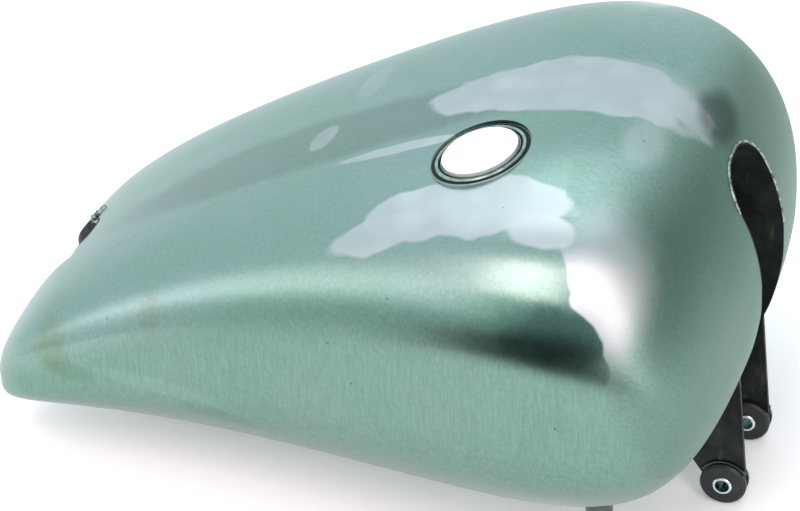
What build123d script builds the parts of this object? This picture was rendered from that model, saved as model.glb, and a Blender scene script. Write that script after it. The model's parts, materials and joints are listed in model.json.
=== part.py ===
from build123d import *
import math
import os

# One-piece stretched motorcycle fuel tank in bare sheet steel.
# X runs forward from tail to nose, +Y is the rider's left, +Z is up.
# The origin is under the middle of the tank, level with the underside of the front grommets.

# ---------------------------------------------------------------- driving dimensions (mm)
LENGTH = 580.0                 # tail to nose
SHEET = 1.6                    # body sheet thickness
BELLY = 35.5                   # belly level above the underside of the front grommets

# Body stations from tail to nose: share of the sweep, half width, top line, belly line.
# The two heights are measured from the belly level.
SHARE = [0.0, 0.10, 0.22, 0.36, 0.50, 0.64, 0.78, 0.90, 1.0]
HALF_WIDTH = [0, 94, 133, 150, 177, 206, 203, 144, 0]
TOP_LINE = [-24, 43, 104, 169.5, 230.5, 275, 270, 207, 149]
BELLY_LINE = [-24, -8, 0, 2, 2, 4, 18, 76, 149]

# Frame tunnel: an inverted U of sheet running the whole length, its roof rising to the nose
TUNNEL_HALF = 35.0             # clear half width between the walls
TUNNEL_CORNER = 30.0           # inside corner radius of the roof
ROOF_REAR = (-232.0, 97.0)     # x and height over the belly of the roof's rear end
ROOF_NOSE = (264.0, 233.5)     # the same at the arch in the nose
FLARE_X = -236.0               # behind this the walls round away outwards
FLARE_R = 45.0                 # radius of that rounding in plan

# Seams between the pressings
STRIP_HALF = 66.0              # half width of the centre strip on top
STRIP_FLOOR = 96.0             # the strip ends this far above the belly at the tail
PAN_HEIGHT = 12.0              # the bottom pans turn up this far above the belly
PAN_REAR = -250.0              # the bottom pans start here
NOSE_SEAM_X = 231.0            # the nose seam crosses the reference height here
NOSE_SEAM_Z = 131.0            # reference height over the belly
NOSE_SEAM_LEAN = 0.36          # how far it leans back per unit of height

# Filler neck, let into the right shoulder, and the dust plug standing in its mouth
FILLER_X = 108.4
FILLER_Y = -88.7
FILLER_Z = 265.4               # height over the belly
FILLER_DIR = (-0.25, -0.07, 0.966)
NECK_R = 36.0
RIDGE_HIGH = 1.0               # the ridge round the mouth stands this high
PLUG_R = 27.0
PLUG_SEAT_R = 27.1
NECK_BORE_R = 24.5
PLUG_DEPTH = 1.8               # the shoulder lies this far under the neck's edge
PLUG_HIGH = 3.3                # the plug's top stands this far above it

# Front mounts: plates welded along the tunnel walls, rubber grommets and steel sleeves
MOUNT_X = 264.8
MOUNT_Z = 17.0                 # sleeve axis above the origin
TAB_THICK = 4.0
TAB_END_R = 16.0
GROMMET_R = 17.0
GROMMET_NECK_R = 12.5
GROMMET_FLANGE = 5.0
SLEEVE_R = 7.0
SLEEVE_BORE_R = 5.0
SLEEVE_LENGTH = 17.0
RUNNING_GAP = 0.05

# Rear mount inside the tail end of the tunnel
REAR_X = -195.0
REAR_Z = 20.0                  # middle of the plate over the belly
REAR_LONG = 44.0

# Threaded bungs under the belly
PETCOCK_X = 201.0
PETCOCK_Y = -145.0
CROSSOVER_X = 140.0
CROSSOVER_Y = 62.0
PETCOCK_DROP = 24.0            # lower end of the bung over the belly
CROSSOVER_DROP = -9.0
BUNG_R = 9.5
BUNG_BORE_R = 5.6
BUNG_LENGTH = 24.0

# Baffles
BAFFLE_X = 60.0
BAFFLE_HOLE_R = 13.0

WALL = TUNNEL_HALF + SHEET     # outer face of the tunnel wall


# ---------------------------------------------------------------- body form
def natural_cubic(values):
    """Return a smooth curve through the values at the station shares."""
    count = len(SHARE)
    gap = [SHARE[i + 1] - SHARE[i] for i in range(count - 1)]
    rise = [(values[i + 1] - values[i]) / gap[i] for i in range(count - 1)]
    diagonal = [1.0] * count
    right = [0.0] * count
    upper = [0.0] * count
    for i in range(1, count - 1):
        weight = 2 * (gap[i - 1] + gap[i]) - gap[i - 1] * upper[i - 1]
        upper[i] = gap[i] / weight
        right[i] = (6 * (rise[i] - rise[i - 1]) - gap[i - 1] * right[i - 1]) / weight
        diagonal[i] = weight
    bend = [0.0] * count
    for i in range(count - 2, 0, -1):
        bend[i] = right[i] - upper[i] * bend[i + 1]

    def curve(share):
        i = max(k for k in range(count - 1) if SHARE[k] <= share)
        a = SHARE[i + 1] - share
        b = share - SHARE[i]
        h = gap[i]
        cubic = (bend[i] * a ** 3 + bend[i + 1] * b ** 3) / (6 * h)
        line = (values[i] / h - bend[i] * h / 6) * a + (values[i + 1] / h - bend[i + 1] * h / 6) * b
        return cubic + line

    return curve


half_width = natural_cubic(HALF_WIDTH)
top_line = natural_cubic(TOP_LINE)
belly_line = natural_cubic(BELLY_LINE)


def along(share):
    """Distance from the middle of the tank, crowded towards both ends."""
    return -LENGTH / 2 * math.cos(math.pi * share)


def slope(curve, share):
    """Slope of a body line in space."""
    step = 0.004
    return (curve(share + step) - curve(share - step)) / (along(share + step) - along(share - step))


def section(share, inset):
    """Closed cross-section of the body, drawn in by a sheet thickness when inset is set."""
    steep = slope(half_width, share)
    shift = inset * steep / math.hypot(1, steep)
    x = along(share) + shift

    def drawn(curve, side):
        lean = slope(curve, share)
        return curve(share) + lean * shift - side * inset * math.hypot(1, lean)

    width = drawn(half_width, 1)
    top = drawn(top_line, 1)
    bottom = drawn(belly_line, -1)
    waist = bottom + (top - bottom) * (0.49 - 0.12 * share ** 3)
    upper_power = 2 / (3.45 - 1.6 * share ** 3)
    lower_power = 2 / (2.5 + 0.35 * (2 * share - 1) ** 2)
    points = []
    for step in range(40):
        angle = 2 * math.pi * step / 40
        power = upper_power if math.cos(angle) >= 0 else lower_power
        reach = top - waist if math.cos(angle) >= 0 else waist - bottom
        y = math.copysign(abs(math.sin(angle)) ** power, math.sin(angle)) * width
        z = math.copysign(abs(math.cos(angle)) ** power, math.cos(angle)) * reach
        points.append((x, y, BELLY + waist + z))
    even = [step / len(points) for step in range(len(points) + 1)]
    outline = Edge.make_spline(points, periodic=True, parameters=even)
    return Face(Wire(outline))


def body(inset):
    """Solid form of the tank; its blunt ends fall inside the tunnel."""
    shares = [0.02 + 0.04 * step for step in range(25)]
    return loft([section(share, inset) for share in shares])


outer = body(0)
inner = body(SHEET)
skin = outer - inner


# ---------------------------------------------------------------- helpers
def block(x0, x1, y0, y1, z0, z1):
    """Box between two corners."""
    centre = Pos((x0 + x1) / 2, (y0 + y1) / 2, (z0 + z1) / 2)
    return centre * Box(x1 - x0, y1 - y0, z1 - z0)


def other_side(shape):
    """The same piece on the left."""
    return mirror(shape, about=Plane.XZ)


def arch(half, corner, rise):
    """Long sloping prism with an inverted U section, open below the tank."""
    x0, z0 = ROOF_REAR
    x1, z1 = ROOF_NOSE
    grade = (z1 - z0) / (x1 - x0)
    start = -LENGTH / 2 - 40
    floor = -500.0
    roof = BELLY + z0 + grade * (start - x0) + rise
    frame = Plane(origin=(start, 0, 0), x_dir=(0, 1, 0), z_dir=(1, 0, 0))
    outline = Polyline((-half, roof - corner), (-half, floor), (half, floor), (half, roof - corner))
    outline += RadiusArc((half, roof - corner), (half - corner, roof), -corner)
    outline += Line((half - corner, roof), (corner - half, roof))
    outline += RadiusArc((corner - half, roof), (-half, roof - corner), -corner)
    profile = frame * make_face(outline)
    run = LENGTH + 80
    return extrude(profile, amount=run * math.hypot(1, grade), dir=(1, 0, grade))


def flare(half, radius):
    """Upright prism filling the tail end of the tunnel between walls that round away."""
    centre_y = TUNNEL_HALF + FLARE_R
    turn = math.radians(75)
    tip_x = FLARE_X - radius * math.sin(turn)
    tip_y = centre_y - radius * math.cos(turn)
    back = -LENGTH / 2 - 40
    outline = Line((FLARE_X, -half), (FLARE_X, half))
    outline += CenterArc((FLARE_X, centre_y), radius, -90, -75)
    outline += Polyline((tip_x, tip_y), (back, tip_y), (back, -tip_y), (tip_x, -tip_y))
    outline += CenterArc((FLARE_X, -centre_y), radius, 90, 75)
    return Pos(0, 0, -LENGTH) * extrude(make_face(outline), amount=2 * LENGTH)


def turned(profile, plane):
    """Solid of revolution about the plane's axis from (radius, height) points."""
    flat = Plane.XZ * make_face(Polyline(*profile, close=True))
    return plane * revolve(flat, axis=Axis.Z)


def biggest(shape):
    """Keep the main solid of a cut."""
    return max(shape.solids(), key=lambda solid: solid.volume)


# ---------------------------------------------------------------- frame tunnel
hollow = arch(TUNNEL_HALF, TUNNEL_CORNER, 0) + flare(TUNNEL_HALF, FLARE_R)
tunnel_form = arch(WALL, TUNNEL_CORNER + SHEET, SHEET) + flare(WALL, FLARE_R - SHEET)
tunnel_channel = biggest((outer & tunnel_form) - hollow)

# ---------------------------------------------------------------- filler neck and plug
filler = Plane(origin=(FILLER_X, FILLER_Y, BELLY + FILLER_Z), z_dir=FILLER_DIR)
neck_profile = [
    (NECK_BORE_R, -26), (NECK_BORE_R + 3, -26), (NECK_BORE_R + 3, -14), (NECK_R, -11),
    (NECK_R, -0.4), (NECK_R - 0.4, 0), (NECK_R - 3.4, 0),
    (NECK_R - 4.0, RIDGE_HIGH), (NECK_R - 6.0, RIDGE_HIGH), (NECK_R - 6.6, -0.4),
    (NECK_R - 7.6, -0.4), (NECK_R - 7.8, 0.6), (PLUG_SEAT_R + 0.5, 0.6), (PLUG_SEAT_R, 0.1),
    (PLUG_SEAT_R, -PLUG_DEPTH), (NECK_BORE_R, -PLUG_DEPTH),
]
filler_neck = turned(neck_profile, filler)
plug_profile = [
    (0, -PLUG_DEPTH), (PLUG_R - 0.6, -PLUG_DEPTH), (PLUG_R, 0.6 - PLUG_DEPTH),
    (PLUG_R, PLUG_HIGH - 0.6), (PLUG_R - 0.6, PLUG_HIGH), (0, PLUG_HIGH),
]
filler_dust_plug = turned(plug_profile, filler)
neck_hole = filler * Pos(0, 0, -4) * Cylinder(NECK_R, 30)

# ---------------------------------------------------------------- front mounts
TAB_OUTER = WALL + TAB_THICK
TAB_MIDDLE = WALL + TAB_THICK / 2
tab_plane = Plane(origin=(MOUNT_X, 0, MOUNT_Z), x_dir=(1, 0, 0), z_dir=(0, -1, 0))
tab_blade = make_face(Polyline(
    (TAB_END_R, 0), (10.5, 92), (-46, 92), (-46, 44), (-24.4, 18), (-TAB_END_R + 0.8, 4), (0, 0), close=True
))
tab_outline = tab_blade + Circle(TAB_END_R) - Circle(GROMMET_NECK_R)
front_mount_tab_right = biggest(tab_plane * Pos(0, 0, WALL) * extrude(tab_outline, amount=TAB_THICK))
tab_slot = tab_plane * Pos(0, 0, WALL - 2) * extrude(tab_blade, amount=TAB_THICK + 2)

mount_axis = Plane(origin=(MOUNT_X, -TAB_MIDDLE, MOUNT_Z), x_dir=(1, 0, 0), z_dir=(0, -1, 0))


def grommet_profile():
    """Spool of rubber clamped in a plate, bored for a turning sleeve."""
    half = TAB_THICK / 2
    end = half + GROMMET_FLANGE
    bore = SLEEVE_R + RUNNING_GAP
    top = [(bore, end), (GROMMET_R - 1.6, end), (GROMMET_R, end - 1.6), (GROMMET_R, half), (GROMMET_NECK_R, half)]
    return top + [(radius, -height) for radius, height in reversed(top)]


def sleeve(plane, length):
    """Steel sleeve with a bolt bore and broken edges."""
    half = length / 2
    profile = [
        (SLEEVE_BORE_R, -half), (SLEEVE_R - 0.5, -half), (SLEEVE_R, 0.5 - half),
        (SLEEVE_R, half - 0.5), (SLEEVE_R - 0.5, half), (SLEEVE_BORE_R, half),
    ]
    return turned(profile, plane)


front_grommet_right = turned(grommet_profile(), mount_axis)
front_sleeve_right = sleeve(mount_axis, SLEEVE_LENGTH)

# Collar: a short arc of strip on the tab's outer face, hugging the top of the grommet
collar_ring = Circle(GROMMET_R + 1.9) - Circle(GROMMET_R + 0.2)
collar_window = make_face(Polyline((0, 0), (-22, 13), (-22, 30), (22, 30), (22, 13), close=True))
front_grommet_collar_right = tab_plane * Pos(0, 0, TAB_OUTER) * extrude(collar_ring & collar_window, amount=2.0)
front_grommet_collar_right = biggest(front_grommet_collar_right)

# ---------------------------------------------------------------- rear mount
rear_plane = Plane(origin=(REAR_X, 0, BELLY + REAR_Z))
rear_mount_bracket = block(
    REAR_X - REAR_LONG / 2, REAR_X + REAR_LONG / 2, -TUNNEL_HALF, TUNNEL_HALF,
    BELLY + REAR_Z - TAB_THICK / 2, BELLY + REAR_Z + TAB_THICK / 2,
) - Pos(REAR_X, 0, BELLY + REAR_Z) * Cylinder(GROMMET_NECK_R, 20)
rear_grommet = turned(grommet_profile(), rear_plane)
rear_sleeve = sleeve(rear_plane, SLEEVE_LENGTH)


# ---------------------------------------------------------------- bungs
def bung(x, y, drop):
    """Round threaded bung let into the belly, hanging below it."""
    stub = Pos(x, y, drop + BUNG_LENGTH / 2) * Cylinder(BUNG_R, BUNG_LENGTH)
    return stub - Pos(x, y, drop) * Cylinder(BUNG_BORE_R, 4 * BUNG_LENGTH)


petcock_bung = bung(PETCOCK_X, PETCOCK_Y, BELLY + PETCOCK_DROP)
crossover_bung_right = bung(CROSSOVER_X, -CROSSOVER_Y, BELLY + CROSSOVER_DROP)
petcock_hole = Pos(PETCOCK_X, PETCOCK_Y, BELLY + 30) * Cylinder(BUNG_R, 60)
crossover_hole = Pos(CROSSOVER_X, -CROSSOVER_Y, BELLY) * Cylinder(BUNG_R, 60)

# ---------------------------------------------------------------- body panels
FAR = LENGTH
nose_frame = Plane(
    origin=(NOSE_SEAM_X, 0, BELLY + NOSE_SEAM_Z),
    x_dir=(0, 1, 0),
    z_dir=(1, 0, NOSE_SEAM_LEAN),
)
nose_side = nose_frame * Pos(0, 0, FAR) * Box(2 * FAR, 2 * FAR, 2 * FAR)
pan_side = block(PAN_REAR, FAR, -FAR, FAR, -FAR, BELLY + PAN_HEIGHT)
strip_side = block(-FAR, FAR, -STRIP_HALF, STRIP_HALF, BELLY + STRIP_FLOOR, FAR)
right_side = block(-FAR, FAR, -FAR, 0, -FAR, FAR)

# The right half of each pressing is cut out, and the left one mirrors it.
shell = skin - tunnel_form
upper = shell - pan_side
flanks = upper - nose_side
pan = biggest(((shell & pan_side) & right_side) - tab_slot - crossover_hole)
nose_cap = biggest(((upper & nose_side) & right_side) - tab_slot)
side_shell = biggest(((flanks - strip_side) & right_side) - tab_slot)
right_side_shell = biggest(side_shell - neck_hole - petcock_hole)
centre_strip = biggest((flanks & strip_side) - neck_hole)

# ---------------------------------------------------------------- baffles
# Flat plate across each side of the tank, pierced so the fuel can pass
baffle = inner & block(BAFFLE_X - SHEET / 2, BAFFLE_X + SHEET / 2, -FAR, -WALL, 0, FAR)
for y, z in [(90, 60), (140, 110), (90, 160), (150, 190), (80, 215)]:
    baffle -= Pos(BAFFLE_X, -y, BELLY + z) * Rot(0, 90, 0) * Cylinder(BAFFLE_HOLE_R, 10)
baffle = biggest(baffle)

# ---------------------------------------------------------------- write the pieces
pieces = {
    "right_side_shell": right_side_shell,
    "left_side_shell": other_side(side_shell),
    "right_nose_cap": nose_cap,
    "left_nose_cap": other_side(nose_cap),
    "centre_strip": centre_strip,
    "right_bottom_pan": pan,
    "left_bottom_pan": other_side(pan),
    "tunnel_channel": tunnel_channel,
    "right_baffle": baffle,
    "left_baffle": other_side(baffle),
    "filler_neck": filler_neck,
    "filler_dust_plug": filler_dust_plug,
    "front_mount_tab_right": front_mount_tab_right,
    "front_mount_tab_left": other_side(front_mount_tab_right),
    "front_grommet_collar_right": front_grommet_collar_right,
    "front_grommet_collar_left": other_side(front_grommet_collar_right),
    "front_grommet_right": front_grommet_right,
    "front_grommet_left": other_side(front_grommet_right),
    "front_sleeve_right": front_sleeve_right,
    "front_sleeve_left": other_side(front_sleeve_right),
    "rear_mount_bracket": rear_mount_bracket,
    "rear_grommet": rear_grommet,
    "rear_sleeve": rear_sleeve,
    "petcock_bung": petcock_bung,
    "crossover_bung_right": crossover_bung_right,
    "crossover_bung_left": other_side(crossover_bung_right),
}

os.makedirs("parts", exist_ok=True)
for name, piece in pieces.items():
    piece.label = name
    export_step(piece, f"parts/{name}.step")
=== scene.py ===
import json
import math

import bmesh
import bpy
from mathutils import Matrix, Vector, noise
from mathutils.bvhtree import BVHTree


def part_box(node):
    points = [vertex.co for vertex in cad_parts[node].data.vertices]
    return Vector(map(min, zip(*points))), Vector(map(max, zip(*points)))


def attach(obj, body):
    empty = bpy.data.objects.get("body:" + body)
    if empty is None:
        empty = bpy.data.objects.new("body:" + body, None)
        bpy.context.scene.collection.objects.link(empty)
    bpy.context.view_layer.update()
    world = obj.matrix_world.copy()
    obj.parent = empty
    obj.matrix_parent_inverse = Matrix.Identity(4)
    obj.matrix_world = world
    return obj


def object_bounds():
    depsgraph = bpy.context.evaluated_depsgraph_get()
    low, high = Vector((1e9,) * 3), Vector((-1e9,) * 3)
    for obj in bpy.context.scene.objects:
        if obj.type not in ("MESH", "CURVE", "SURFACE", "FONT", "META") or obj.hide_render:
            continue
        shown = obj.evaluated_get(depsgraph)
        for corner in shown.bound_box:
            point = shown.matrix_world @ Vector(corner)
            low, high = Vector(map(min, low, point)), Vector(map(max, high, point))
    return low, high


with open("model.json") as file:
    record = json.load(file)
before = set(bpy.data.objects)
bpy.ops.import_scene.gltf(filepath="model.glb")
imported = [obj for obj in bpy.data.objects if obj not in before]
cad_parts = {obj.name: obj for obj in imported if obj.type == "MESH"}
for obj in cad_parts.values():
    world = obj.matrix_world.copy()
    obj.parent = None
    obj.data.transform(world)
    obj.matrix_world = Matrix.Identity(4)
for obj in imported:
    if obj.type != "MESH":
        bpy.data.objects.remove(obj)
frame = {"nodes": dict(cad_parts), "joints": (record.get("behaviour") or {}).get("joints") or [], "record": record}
cad_low, cad_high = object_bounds()
nodes = frame["nodes"]
scene = bpy.context.scene
scene.view_settings.view_transform = "Standard"
scene.view_settings.look = "None"

# ------------------------------------------------------------------ places taken from the frame
WALL = -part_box("front_mount_tab_right")[1].y          # outer face of the tunnel wall
filler_low, filler_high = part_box("filler_dust_plug")
FILLER = (filler_low + filler_high) / 2
joint_axes = {joint["name"]: joint["axis"] for joint in frame["joints"]}
FILLER_AXIS = Vector(joint_axes["plug_pull"]).normalized()
PLUG_RADIUS = 0.027
PLUG_TOP = 0.00255                                    # the plug's top face over its middle
NECK_RADIUS = 0.036
NECK_GROOVE = 0.0289                                  # radius of the groove between neck and plug
FRONT_SLEEVE = (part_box("front_sleeve_right")[0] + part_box("front_sleeve_right")[1]) / 2
REAR_SLEEVE = (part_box("rear_sleeve")[0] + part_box("rear_sleeve")[1]) / 2
SLEEVE_BORE = 0.005

# ------------------------------------------------------------------ camera
AIM = Vector((0.0136, 0.0, 0.1464))
AZIMUTH, ELEVATION, ROLL = 20.18, 33.61, -3.71        # degrees; azimuth 0 faces the right side
DISTANCE = 2.2006
LENS = 135.76
SENSOR = 36


def look(azimuth, elevation, roll):
    """Right, up and forward directions of a camera looking down at the tank's right side."""
    a, e, t = math.radians(azimuth), math.radians(elevation), math.radians(roll)
    forward = Vector((-math.sin(a) * math.cos(e), math.cos(a) * math.cos(e), -math.sin(e)))
    level = Vector((math.cos(a), math.sin(a), 0))
    upright = level.cross(forward)
    right = level * math.cos(t) + upright * math.sin(t)
    up = upright * math.cos(t) - level * math.sin(t)
    return right, up, forward


right, up, forward = look(AZIMUTH, ELEVATION, ROLL)
camera = bpy.data.objects.new("camera", bpy.data.cameras.new("camera"))
camera.data.lens = LENS
camera.data.sensor_width = SENSOR
camera.data.clip_start, camera.data.clip_end = 0.1, 50
spin = Matrix((right, up, -forward)).transposed().to_4x4()
camera.matrix_world = Matrix.Translation(AIM - forward * DISTANCE) @ spin
scene.collection.objects.link(camera)
scene.camera = camera

# ------------------------------------------------------------------ lights, floor and world
HEART = Vector((0.05, 0, 0.17))                       # the lamps face this point
# Lamps: name, azimuth, elevation, distance, width and height, radiance, colour.
# The steel is green, so the lamps on the near side are pinkish and their reflections neutral.
SOFTBOXES = [
    ("side_band", -140, 20, 2.0, (1.9, 0.70), 1.35, (1.0, 0.78, 0.86)),
    ("side_high", -99, 45, 2.0, (1.1, 0.90), 5.8, (1.0, 0.66, 0.72)),
    ("nose_crescent", -43, 27, 1.8, (0.40, 2.2), 5.3, (1.0, 0.74, 0.80)),
    ("overhead", 100, 78, 2.4, (2.4, 1.8), 0.9, (0.95, 1.0, 1.0)),
]


def bearing(azimuth, elevation):
    """Unit vector at an angle from +X in plan and a height above the horizon."""
    a, e = math.radians(azimuth), math.radians(elevation)
    return Vector((math.cos(a) * math.cos(e), math.sin(a) * math.cos(e), math.sin(e)))


def softbox(name, azimuth, elevation, distance, size, radiance, colour):
    """Rectangular lamp of even brightness, facing the tank."""
    data = bpy.data.lights.new(name, "AREA")
    data.shape = "RECTANGLE"
    data.size, data.size_y = size
    data.energy = radiance * size[0] * size[1] * math.pi
    data.color = colour
    lamp = bpy.data.objects.new(name, data)
    lamp.location = HEART + bearing(azimuth, elevation) * distance
    lamp.rotation_mode = "QUATERNION"
    lamp.rotation_quaternion = bearing(azimuth, elevation).to_track_quat("Z", "Y")
    lamp.visible_camera = False
    scene.collection.objects.link(lamp)


for lamp_values in SOFTBOXES:
    softbox(*lamp_values)


def flat_sheet(name, corners, colour, roughness, glow=0.0):
    """Plain four-cornered sheet with a plain matt finish."""
    mesh = bpy.data.meshes.new(name)
    mesh.from_pydata(corners, [], [(0, 1, 2, 3)])
    sheet = bpy.data.objects.new(name, mesh)
    scene.collection.objects.link(sheet)
    finish = bpy.data.materials.new(name)
    finish.use_nodes = True
    shader = finish.node_tree.nodes["Principled BSDF"]
    shader.inputs["Base Color"].default_value = (*colour, 1)
    shader.inputs["Roughness"].default_value = roughness
    shader.inputs["Specular IOR Level"].default_value = 0.1
    shader.inputs["Emission Color"].default_value = (*colour, 1)
    shader.inputs["Emission Strength"].default_value = glow
    mesh.materials.append(finish)
    return sheet


FLOOR_HALF = 6.0
FLOOR_GLOW = 0.22                                     # keeps the shadows as pale as in the photo
floor_z = cad_low.z - 0.0003
flat_sheet(
    "floor",
    [(-FLOOR_HALF, -FLOOR_HALF, floor_z), (FLOOR_HALF, -FLOOR_HALF, floor_z),
     (FLOOR_HALF, FLOOR_HALF, floor_z), (-FLOOR_HALF, FLOOR_HALF, floor_z)],
    (0.93, 0.94, 0.94), 0.9, FLOOR_GLOW,
)
# A dark card stands beside the set and shows only as the dark band along the flank.
card = flat_sheet(
    "dark_card",
    [(-0.50, -0.95, 0.0), (0.62, -0.85, 0.0), (0.62, -0.85, 0.43), (-0.50, -0.95, 0.25)],
    (0.008, 0.012, 0.010), 1.0,
)
card.visible_camera = False
card.visible_diffuse = False
card.visible_shadow = False
card.visible_transmission = False

# A pale room that darkens ahead of the nose
ROOM_PALE = (0.88, 1.0, 1.06, 1)
ROOM_DARK = (0.42, 0.47, 0.45, 1)
world = bpy.data.worlds.new("studio")
world.use_nodes = True
sky = world.node_tree.nodes
sky_links = world.node_tree.links
toward = sky.new("ShaderNodeTexCoord")
split = sky.new("ShaderNodeSeparateXYZ")
fade = sky.new("ShaderNodeMapRange")
blend = sky.new("ShaderNodeMix")
blend.data_type = "RGBA"
sky_links.new(toward.outputs["Generated"], split.inputs[0])
sky_links.new(split.outputs["X"], fade.inputs["Value"])
fade.inputs["From Min"].default_value = 0.1
fade.inputs["From Max"].default_value = 0.8
sky_links.new(fade.outputs["Result"], blend.inputs["Factor"])
blend.inputs["A"].default_value = ROOM_PALE
blend.inputs["B"].default_value = ROOM_DARK
sky_links.new(blend.outputs["Result"], sky["Background"].inputs["Color"])
sky["Background"].inputs["Strength"].default_value = 1.0
scene.world = world


# ------------------------------------------------------------------ material building
class Graph:
    """Short calls for wiring a material's nodes; arguments are sockets or plain values."""

    def __init__(self, name):
        self.material = bpy.data.materials.new(name)
        self.material.use_nodes = True
        self.tree = self.material.node_tree
        self.shader = self.tree.nodes["Principled BSDF"]
        self.place = self.tree.nodes.new("ShaderNodeTexCoord").outputs["Object"]

    def put(self, socket, value):
        if isinstance(value, bpy.types.NodeSocket):
            self.tree.links.new(value, socket)
        elif hasattr(socket.default_value, "__len__"):
            value = tuple(value) if hasattr(value, "__len__") else (value,) * 3
            socket.default_value = (value + (1,))[:len(socket.default_value)]
        else:
            socket.default_value = value

    def math(self, operation, a, b=0.0, c=0.0):
        node = self.tree.nodes.new("ShaderNodeMath")
        node.operation = operation
        for socket, value in zip(node.inputs, (a, b, c)):
            self.put(socket, value)
        return node.outputs[0]

    def times(self, first, *others):
        """Product of two or more values."""
        for other in others:
            first = self.math("MULTIPLY", first, other)
        return first

    def swing(self, value, size):
        """A 0 to 1 value turned into one that swings about zero, size wide in all."""
        return self.times(self.math("SUBTRACT", value, 0.5), size)

    def vector(self, operation, a, b=(0, 0, 0)):
        node = self.tree.nodes.new("ShaderNodeVectorMath")
        node.operation = operation
        self.put(node.inputs[0], a)
        self.put(node.inputs[1], b)
        return node.outputs["Value" if operation in ("LENGTH", "DOT_PRODUCT") else "Vector"]

    def scaled(self, colour, share):
        node = self.tree.nodes.new("ShaderNodeVectorMath")
        node.operation = "SCALE"
        self.put(node.inputs[0], colour)
        self.put(node.inputs["Scale"], share)
        return node.outputs["Vector"]

    def axes(self):
        """The place's x, y and z."""
        node = self.tree.nodes.new("ShaderNodeSeparateXYZ")
        self.put(node.inputs[0], self.place)
        return node.outputs

    def ramp(self, value, low, high, to_low=0.0, to_high=1.0):
        node = self.tree.nodes.new("ShaderNodeMapRange")
        node.interpolation_type = "SMOOTHSTEP"
        self.put(node.inputs["Value"], value)
        node.inputs["From Min"].default_value = low
        node.inputs["From Max"].default_value = high
        node.inputs["To Min"].default_value = to_low
        node.inputs["To Max"].default_value = to_high
        return node.outputs["Result"]

    def noise(self, scale, detail=3.0, rough=0.5, stretch=(1, 1, 1), turn=(0, 0, 0)):
        mapping = self.tree.nodes.new("ShaderNodeMapping")
        self.put(mapping.inputs["Vector"], self.place)
        mapping.inputs["Scale"].default_value = stretch
        mapping.inputs["Rotation"].default_value = [math.radians(angle) for angle in turn]
        node = self.tree.nodes.new("ShaderNodeTexNoise")
        self.put(node.inputs["Vector"], mapping.outputs[0])
        node.inputs["Scale"].default_value = scale
        node.inputs["Detail"].default_value = detail
        node.inputs["Roughness"].default_value = rough
        return node.outputs["Fac"]

    def cells(self, scale):
        node = self.tree.nodes.new("ShaderNodeTexVoronoi")
        node.feature = "F1"
        self.put(node.inputs["Vector"], self.place)
        node.inputs["Scale"].default_value = scale
        return node.outputs["Distance"]

    def mix(self, share, a, b):
        """Colour between a and b."""
        node = self.tree.nodes.new("ShaderNodeMix")
        node.data_type = "RGBA"
        self.put(node.inputs["Factor"], share)
        self.put(node.inputs[6], a)
        self.put(node.inputs[7], b)
        return node.outputs[2]

    def lerp(self, share, a, b):
        """Number between a and b."""
        node = self.tree.nodes.new("ShaderNodeMix")
        self.put(node.inputs["Factor"], share)
        self.put(node.inputs[2], a)
        self.put(node.inputs[3], b)
        return node.outputs[0]

    def blob(self, centre, radii, soft, wobble):
        """Soft-edged patch around a place in metres, its edge pushed about by a wobble value."""
        offset = self.vector("DIVIDE", self.vector("SUBTRACT", self.place, centre), radii)
        reach = self.math("ADD", self.vector("LENGTH", offset), wobble)
        return self.ramp(reach, 1 - soft, 1 + soft, 1.0, 0.0)

    def bump(self, height, distance, strength=1.0, normal=None):
        node = self.tree.nodes.new("ShaderNodeBump")
        self.put(node.inputs["Height"], height)
        node.inputs["Distance"].default_value = distance
        node.inputs["Strength"].default_value = strength
        if normal:
            self.put(node.inputs["Normal"], normal)
        return node.outputs[0]

    def finish(self, colour, roughness, normal, metallic=0.0):
        self.put(self.shader.inputs["Base Color"], colour)
        self.put(self.shader.inputs["Roughness"], roughness)
        self.put(self.shader.inputs["Normal"], normal)
        self.shader.inputs["Metallic"].default_value = metallic
        return self.material


# ------------------------------------------------------------------ bare steel skin
STEEL = (0.27, 0.40, 0.34)
STEEL_DRIFT = (0.95, 1.0, 0.95), (1.04, 1.02, 1.05)   # the colour drifts between these factors
SKIN_ROUGHNESS = 0.29
SKIN_ANISOTROPY = 0.75
BRUSH_POLE = (0, 0.6, 0.8)                            # highlights stretch square to this direction
GROUND_STEEL_AND_HIGHLIGHT = (0.56, 0.61, 0.62)                           # freshly ground steel, also the colour of the painted highlight crescent
GROUND_ROUGHNESS = 0.36
WIDE = 9.0                                            # a radius that leaves a direction free

# The sanded nose starts where x + SANDED_LEAN z crosses these values.
SANDED_LEAN = 0.42
SANDED_START, SANDED_FULL = 0.3030, 0.3060
# The shoulder line parts the smooth top from the brushed flank: z as a quadratic in x.
SHOULDER = (0.240, 0.408, -0.491)
# The flank's factor darkens and greens the flank below the shoulder: partly its brushed finish, partly painted
# shade.
FLANK_FINISH_AND_SHADE, TOP_FACTOR = (0.58, 0.68, 0.65), (1.0, 0.99, 1.06)

# Single marks: centre and radii
SANDED_BAY = (0, 0, 0.234), (WIDE, WIDE, 0.024)       # the nose's line bows forward here
CROWN_STRIPE = (-0.03, -0.024, 0.2), (0.17, 0.034, WIDE)
PAINTED_HIGHLIGHT_CRESCENT = (0.212, -0.168, 0.262), (0.030, 0.05, 0.052)
ARCH_SMOKE = (0.246, 0.018, 0.285), (0.013, 0.028, 0.03)
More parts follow.
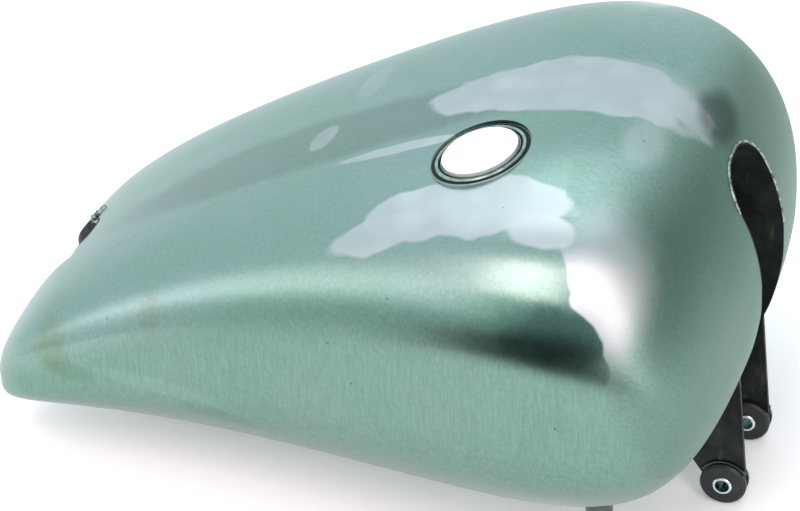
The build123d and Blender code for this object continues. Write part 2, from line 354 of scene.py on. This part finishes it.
# Ground patches seen from above: centre x, y, radii x, y, strength, softness of the edge
TOP_PATCHES = [
    (0.150, -0.010, 0.094, 0.037, 0.85, 0.06),
    (0.190, 0.004, 0.050, 0.026, 0.35, 0.30),
    (0.214, -0.060, 0.013, 0.026, 0.35, 0.40),
    (0.112, -0.137, 0.074, 0.022, 0.85, 0.06),
    (0.054, -0.147, 0.036, 0.012, 0.80, 0.10),
    (0.170, -0.155, 0.024, 0.011, 0.90, 0.12),
    (0.038, -0.066, 0.044, 0.006, 0.75, 0.10),
    (-0.031, -0.019, 0.010, 0.016, 0.45, 0.10),
    (-0.017, 0.056, 0.010, 0.028, 0.25, 0.30),
]
# Marks on the flank, stains and one painted dark reflection: centre x, z, radii x, z, colour factor
FLANK_MARKS_AND_PAINTED_REFLECTION = [
    (-0.211, 0.118, 0.014, 0.018, (0.93, 0.88, 0.78)),
    (-0.124, 0.168, 0.008, 0.014, (0.96, 0.92, 0.84)),
    (-0.196, 0.104, 0.018, 0.008, (0.88, 0.88, 0.85)),
    (-0.125, 0.112, 0.055, 0.007, (1.10, 1.10, 1.10)),
    (-0.075, 0.098, 0.030, 0.006, (0.86, 0.90, 0.87)),
    # Painted dark reflection on the brushed flank beside the nose's line
    (0.194, 0.240, 0.038, 0.017, (0.40, 0.46, 0.50)),
]


def tinted(colour, factor):
    return tuple(c * f for c, f in zip(colour, factor))


def skin(name):
    """Bare sheet: vertically brushed flanks, a cross-sanded nose, ground patches, stains, pits, with painted shade
    on the flank and nose front, a painted dark reflection and a painted highlight.
    """
    g = Graph(name)
    x, y, z = g.axes()
    wide = g.noise(11, 3)
    edge = g.noise(26, 2.5)
    ragged = g.noise(60, 3)
    fine = g.noise(330, 2)
    lines = g.noise(1, 4, 0.65, stretch=(900, 900, 45))
    scratches = g.noise(1, 4, 0.7, stretch=(70, 900, 900), turn=(0, 38, 20))
    crossed = g.noise(1, 4, 0.7, stretch=(900, 700, 80), turn=(0, 30, -25))
    wobble = g.swing(edge, 0.75)
    fray = g.swing(ragged, 0.8)

    # Zones: the sanded nose with its leaning, scalloped line, and the top over the shoulder line
    lean = g.math("MULTIPLY_ADD", z, SANDED_LEAN, x)
    lean = g.math("MULTIPLY_ADD", g.blob(*SANDED_BAY, 0.5, 0.0), -0.010, lean)
    sanded = g.ramp(g.math("ADD", lean, g.swing(edge, 0.024)), SANDED_START, SANDED_FULL)
    height, slope, bend = SHOULDER
    shoulder = g.math("MULTIPLY_ADD", g.math("MULTIPLY_ADD", x, bend, slope), x, height)
    above = g.ramp(g.math("SUBTRACT", z, shoulder), -0.040, 0.004)

    # Colour: broad drift, mottling along the brush lines, painted shade on the flank below the shoulder (partly
    # its brushed finish), a darker crown stripe and painted shade on the nose front
    cool, warm = (tinted(STEEL, factor) for factor in STEEL_DRIFT)
    colour = g.mix(g.ramp(wide, 0.35, 0.65), cool, warm)
    colour = g.vector("MULTIPLY", colour, g.mix(above, FLANK_FINISH_AND_SHADE, TOP_FACTOR))
    strong, faint = g.ramp(lines, 0.3, 0.7, 0.90, 1.10), g.ramp(lines, 0.3, 0.7, 0.96, 1.04)
    brushed = g.lerp(above, strong, faint)
    colour = g.scaled(colour, g.lerp(sanded, brushed, g.ramp(scratches, 0.3, 0.7, 0.90, 1.10)))
    colour = g.scaled(colour, g.ramp(fine, 0.25, 0.75, 0.95, 1.05))
    crown = g.blob(*CROWN_STRIPE, 0.22, g.times(wobble, 0.5))
    colour = g.scaled(colour, g.lerp(crown, 1.0, 0.76))
    # Painted shade: darker towards the front of the nose.
    colour = g.scaled(colour, g.lerp(g.ramp(x, 0.225, 0.265), 1.0, 0.84))
    rough = g.lerp(sanded, SKIN_ROUGHNESS, SKIN_ROUGHNESS + 0.08)

    # Ground patches on top
    on_top = g.ramp(z, 0.17, 0.2)
    swirl = g.ramp(g.cells(42), 0.1, 0.7, 1.05, 0.95)
    ground = g.scaled(GROUND_STEEL_AND_HIGHLIGHT, g.times(g.ramp(wide, 0.3, 0.7, 0.95, 1.08), swirl))
    for cx, cy, rx, ry, strength, soft in TOP_PATCHES:
        patch = g.blob((cx, cy, 0.27), (rx, ry, WIDE), soft, wobble)
        patch = g.times(patch, on_top, strength)
        colour = g.mix(patch, colour, ground)
        rough = g.lerp(patch, rough, GROUND_ROUGHNESS)

    # Stains and a painted dark reflection on the right flank, a painted highlight crescent behind the nose's line,
    # smoke at the arch, pits
    flank = g.times(g.ramp(y, -0.06, -0.09), g.math("SUBTRACT", 1.0, sanded))
    for cx, cz, rx, rz, factor in FLANK_MARKS_AND_PAINTED_REFLECTION:
        mark = g.blob((cx, 0, cz), (rx, WIDE, rz), 0.45, fray)
        colour = g.mix(g.times(mark, flank), colour, g.vector("MULTIPLY", colour, factor))
    # Painted highlight: a light crescent on the sanded nose.
    crescent_highlight = g.blob(*PAINTED_HIGHLIGHT_CRESCENT, 0.40, g.times(wobble, 0.6))
    colour = g.mix(g.times(crescent_highlight, sanded, 0.7), colour, GROUND_STEEL_AND_HIGHLIGHT)
    smoke = g.blob(*ARCH_SMOKE, 0.4, wobble)
    colour = g.scaled(colour, g.lerp(smoke, 1.0, 0.45))
    pits = g.times(g.ramp(g.cells(70), 0.04, 0.07, 1.0, 0.0), g.ramp(g.noise(24, 2), 0.56, 0.64))
    colour = g.scaled(colour, g.lerp(pits, 1.0, 0.6))

    # Bump: faint panel waves, brush lines or sanding, and pits
    sanding = g.math("MULTIPLY_ADD", scratches, 0.6, g.times(crossed, 0.4))
    normal = g.bump(g.noise(14, 1), 0.0009, 0.5)
    normal = g.bump(g.lerp(sanded, lines, sanding), 0.00012, 0.45, normal)
    normal = g.bump(pits, -0.0002, 1.0, normal)

    g.shader.inputs["Anisotropic"].default_value = SKIN_ANISOTROPY
    facing = g.tree.nodes.new("ShaderNodeNewGeometry").outputs["Normal"]
    level = g.vector("NORMALIZE", g.vector("CROSS_PRODUCT", facing, BRUSH_POLE))
    g.put(g.shader.inputs["Tangent"], level)
    return g.finish(colour, rough, normal, 1.0)


# ------------------------------------------------------------------ other finishes
def raw_sheet():
    """Dark mill-scaled sheet with faint rust streaks."""
    g = Graph("raw_sheet")
    scale = g.noise(38, 5, 0.6)
    streaks = g.noise(1, 4, 0.6, stretch=(120, 120, 22))
    colour = g.mix(g.ramp(scale, 0.35, 0.7), (0.002, 0.005, 0.005), (0.016, 0.025, 0.019))
    rust = g.times(g.ramp(streaks, 0.62, 0.72), g.ramp(scale, 0.4, 0.6))
    colour = g.mix(rust, colour, (0.050, 0.046, 0.020))
    g.shader.inputs["Specular IOR Level"].default_value = 0.2
    normal = g.bump(scale, 0.0006, 0.6)
    normal = g.bump(g.noise(420, 3), 0.0001, 0.5, normal)
    return g.finish(colour, g.ramp(scale, 0.3, 0.7, 0.60, 0.42), normal, 0.1)


def turned_steel():
    """Turned steel: the neck with fine rings, a dark groove and a dark band round its edge, and the darker bungs.
    """
    g = Graph("turned_steel")
    out = g.vector("SUBTRACT", g.place, FILLER)
    height = g.vector("DOT_PRODUCT", out, FILLER_AXIS)
    radius = g.vector("LENGTH", g.vector("SUBTRACT", out, g.scaled(tuple(FILLER_AXIS), height)))
    mottled = g.noise(160, 4)
    off_groove = g.math("ABSOLUTE", g.math("SUBTRACT", radius, NECK_GROOVE))
    groove = g.ramp(off_groove, 0.0005, 0.0008, 1.0, 0.0)
    rim = g.ramp(radius, NECK_RADIUS - 0.0040, NECK_RADIUS - 0.0034)
    wall = g.ramp(radius, NECK_RADIUS - 0.0012, NECK_RADIUS - 0.0008)
    near_filler = g.ramp(radius, NECK_RADIUS + 0.002, NECK_RADIUS + 0.004, 1.0, 0.0)
    dark = g.times(g.math("MAXIMUM", groove, rim), near_filler)
    colour = g.mix(g.ramp(mottled, 0.3, 0.7), (0.22, 0.30, 0.27), (0.42, 0.52, 0.48))
    colour = g.mix(g.ramp(height, -0.10, -0.16), colour, (0.075, 0.11, 0.10))
    colour = g.mix(dark, colour, (0.020, 0.034, 0.032))
    colour = g.mix(g.times(wall, near_filler), colour, (0.24, 0.34, 0.32))
    rings = g.math("SINE", g.times(radius, 9000))
    normal = g.bump(rings, 0.00003, 0.6)
    normal = g.bump(mottled, 0.0003, 0.4, normal)
    return g.finish(colour, g.lerp(dark, 0.28, 0.55), normal, 1.0)


def rubber():
    """Moulded black rubber with a dusty bloom and a fine grain."""
    g = Graph("rubber")
    dust = g.noise(90, 5, 0.6)
    colour = g.mix(g.ramp(dust, 0.45, 0.75), (0.005, 0.009, 0.009), (0.016, 0.025, 0.023))
    normal = g.bump(g.noise(1500, 2), 0.00006, 0.6)
    return g.finish(colour, g.ramp(dust, 0.3, 0.7, 0.38, 0.58), normal)


def zinc():
    """Bright zinc with spangle and faint draw lines, darker inside the bolt bores."""
    g = Graph("plated_sleeve")
    spangle = g.cells(500)
    from_front = g.vector("SUBTRACT", g.place, FRONT_SLEEVE)
    from_rear = g.vector("SUBTRACT", g.place, REAR_SLEEVE)
    front_radius = g.vector("LENGTH", g.vector("MULTIPLY", from_front, (1, 0, 1)))
    rear_radius = g.vector("LENGTH", g.vector("MULTIPLY", from_rear, (1, 1, 0)))
    radius = g.math("MINIMUM", front_radius, rear_radius)
    bore = g.ramp(radius, SLEEVE_BORE + 0.0001, SLEEVE_BORE + 0.0005, 1.0, 0.0)
    colour = g.mix(g.ramp(spangle, 0.1, 0.6), (0.60, 0.68, 0.68), (0.82, 0.90, 0.88))
    colour = g.mix(bore, colour, (0.10, 0.17, 0.17))
    normal = g.bump(g.noise(1, 3, stretch=(2500, 200, 2500)), 0.00003, 0.5)
    return g.finish(colour, g.ramp(spangle, 0.1, 0.6, 0.18, 0.3), normal, 1.0)


def white_plastic():
    """Plain white moulding with a faint pebble, a scuffed rim and a side wall greyed with painted shade."""
    g = Graph("white_plug")
    out = g.vector("SUBTRACT", g.place, FILLER)
    at_rim = g.ramp(g.vector("LENGTH", out), PLUG_RADIUS - 0.002, PLUG_RADIUS)
    scuffs = g.times(at_rim, g.ramp(g.noise(220, 3), 0.45, 0.7))
    colour = g.mix(scuffs, (0.94, 0.95, 0.95), (0.80, 0.83, 0.82))
    height = g.vector("DOT_PRODUCT", out, FILLER_AXIS)
    # Painted shade: the side wall below the top face is grey.
    painted_wall_shade = g.ramp(height, PLUG_TOP - 0.0006, PLUG_TOP - 0.0003, 1.0, 0.0)
    colour = g.mix(painted_wall_shade, colour, (0.36, 0.43, 0.41))
    normal = g.bump(g.noise(900, 2), 0.00004, 0.4)
    return g.finish(colour, g.ramp(g.noise(300, 2), 0.3, 0.7, 0.48, 0.56), normal)


def weld():
    """Weld metal: bright crests with sooty toes."""
    g = Graph("weld")
    heat = g.noise(260, 4, 0.6)
    colour = g.mix(g.ramp(heat, 0.35, 0.6), (0.09, 0.13, 0.12), (0.38, 0.46, 0.42))
    normal = g.bump(g.noise(1400, 3), 0.0003, 0.6)
    return g.finish(colour, g.ramp(heat, 0.3, 0.7, 0.5, 0.3), normal, 1.0)


finishes = {
    "brushed_skin": skin("brushed_skin"),
    "sanded_nose": skin("sanded_nose"),
    "raw_sheet": raw_sheet(),
    "turned_steel": turned_steel(),
    "rubber": rubber(),
    "plated_sleeve": zinc(),
    "white_plug": white_plastic(),
}
for part in frame["record"]["subparts"]:
    mesh = nodes[part["node"]].data
    mesh.materials.clear()
    mesh.materials.append(finishes[part["material_slot"]])

# ------------------------------------------------------------------ weld beads
ROOF_GRADE = 136.5 / 496                              # rise of the tunnel roof along the tank
ROOF_START = 0.0355 + 0.097 + 0.0016                  # outer face of the roof at its rear end
ROOF_START_X = -0.232
ROOF_CORNER = 0.0316                                  # outer radius of the roof's corners
BEAD_OFFSET = 0.0004                                  # the bead's middle lies this far outside
ARCH_X = 0.268                                        # where the roof reaches the nose, nearly
ARCH_SPREAD = 0.03                                    # a hit farther than this is not the nose
ARCH_FOOT = 0.190                                     # the bead ends here on the left wall
WALL_STEPS, CORNER_STEPS, ROOF_STEPS = 40, 24, 20
BEAD_SIDES = 10
BEAD_STEP = 0.0009                                    # distance between a bead's rings
NOSE_BEAD, NOSE_PITCH = 0.0011, 0.0030                # radius and ripple
TACK_BEAD, TACK_PITCH = 0.0025, 0.0030
TACK_TOP, TACK_STEP, TACK_STEPS = 0.1285, 0.0008, 20  # the tack runs down from here
TACK_OUTSIDE = 0.0020                                 # the skin is met this far outside the wall
TACK_SHIFT = Vector((0, 0.0018, 0))                   # and the bead is drawn back by this much
OUTSIDE_X = 0.5                                       # beyond either end of the tank
SKIN_NODES = ["right_side_shell", "left_side_shell", "right_nose_cap", "left_nose_cap",
              "centre_strip"]
weld_metal = weld()


def surface(names):
    """Search tree over CAD nodes."""
    points, faces = [], []
    for name in names:
        mesh = nodes[name].data
        first = len(points)
        points += [vertex.co.copy() for vertex in mesh.vertices]
        faces += [[first + i for i in polygon.vertices] for polygon in mesh.polygons]
    return BVHTree.FromPolygons(points, faces)


skin_tree = surface(SKIN_NODES)


def bead(name, path, radius, pitch):
    """Rippled weld bead swept along a path, with tapered ends, kept inside the CAD box in x."""
    form = bmesh.new()
    rings = []
    travelled = 0.0
    last = len(path) - 1
    for i, point in enumerate(path):
        ahead = path[min(i + 1, last)]
        behind = path[max(i - 1, 0)]
        travelled += (point - behind).length
        along = (ahead - behind).normalized()
        side = along.orthogonal().normalized()
        other = along.cross(side)
        taper = min(1.0, 0.35 + 0.3 * min(i, last - i))
        ripple = 0.82 + 0.22 * abs(math.sin(math.pi * travelled / pitch))
        ripple += 0.25 * noise.noise(point * 400)
        size = radius * taper * ripple
        ring = []
        for k in range(BEAD_SIDES):
            turn = 2 * math.pi * k / BEAD_SIDES
            place = point + (side * math.cos(turn) + other * math.sin(turn)) * size
            place.x = min(max(place.x, cad_low.x), cad_high.x)
            ring.append(form.verts.new(place))
        rings.append(ring)
    for a, b in zip(rings, rings[1:]):
        for k in range(BEAD_SIDES):
            after = (k + 1) % BEAD_SIDES
            form.faces.new((a[k], a[after], b[after], b[k]))
    form.faces.new(list(reversed(rings[0])))
    form.faces.new(rings[-1])
    bmesh.ops.recalc_face_normals(form, faces=form.faces)
    for face in form.faces:
        face.smooth = True
    mesh = bpy.data.meshes.new(name)
    form.to_mesh(mesh)
    form.free()
    mesh.materials.append(weld_metal)
    piece = bpy.data.objects.new(name, mesh)
    scene.collection.objects.link(piece)
    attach(piece, "tank")


def arch_section(kind, side, share, x):
    """Y and z of a place on the tunnel's outside at x: on a wall, round a corner or on the roof."""
    half = WALL + BEAD_OFFSET
    roof = ROOF_START + ROOF_GRADE * (x - ROOF_START_X) + BEAD_OFFSET
    if kind == "wall":
        return side * half, ARCH_FOOT + (roof - ROOF_CORNER - ARCH_FOOT) * share
    if kind == "corner":
        turn = math.pi / 2 * share
        y = side * (half - ROOF_CORNER + ROOF_CORNER * math.cos(turn))
        return y, roof - ROOF_CORNER + ROOF_CORNER * math.sin(turn)
    return (half - ROOF_CORNER) * (2 * share - 1), roof


def nose_arch():
    """Points where the tunnel meets the nose: right corner, roof, left corner and left wall."""
    shares = [i / CORNER_STEPS for i in range(1, CORNER_STEPS + 1)]
    outline = [("corner", -1, share) for share in shares]
    outline += [("roof", 0, i / ROOF_STEPS) for i in range(1, ROOF_STEPS)]
    outline += [("corner", 1, share) for share in reversed(shares)]
    outline += [("wall", 1, i / WALL_STEPS) for i in range(WALL_STEPS, -1, -1)]
    path = []
    for place in outline:
        # The roof climbs forward, so its height and the x where it meets the skin are found
        # in turn.
        x = ARCH_X
        point = None
        for _ in range(8):
            y, z = arch_section(*place, x)
            found = skin_tree.ray_cast(Vector((OUTSIDE_X, y, z)), Vector((-1, 0, 0)))[0]
            if found is None or abs(found.x - ARCH_X) > ARCH_SPREAD:
                break
            point = found
            x = (x + found.x) / 2
        if point is not None:
            path.append(point)
    return path


def tail_tack():
    """Points down the skin's rear edge beside the tunnel's left wall."""
    path = []
    for i in range(TACK_STEPS):
        start = Vector((-OUTSIDE_X, WALL + TACK_OUTSIDE, TACK_TOP - TACK_STEP * i))
        path.append(skin_tree.ray_cast(start, Vector((1, 0, 0)))[0] - TACK_SHIFT)
    return path


def resampled(path, step):
    """The same line with even steps."""
    result = [path[0]]
    left = step
    for a, b in zip(path, path[1:]):
        length = (b - a).length
        done = 0.0
        while length - done >= left:
            done += left
            result.append(a.lerp(b, done / length))
            left = step
        left -= length - done
    return result


bead("nose_arch_weld", resampled(nose_arch(), BEAD_STEP), NOSE_BEAD, NOSE_PITCH)
bead("tail_arch_weld", resampled(tail_tack(), BEAD_STEP), TACK_BEAD, TACK_PITCH)
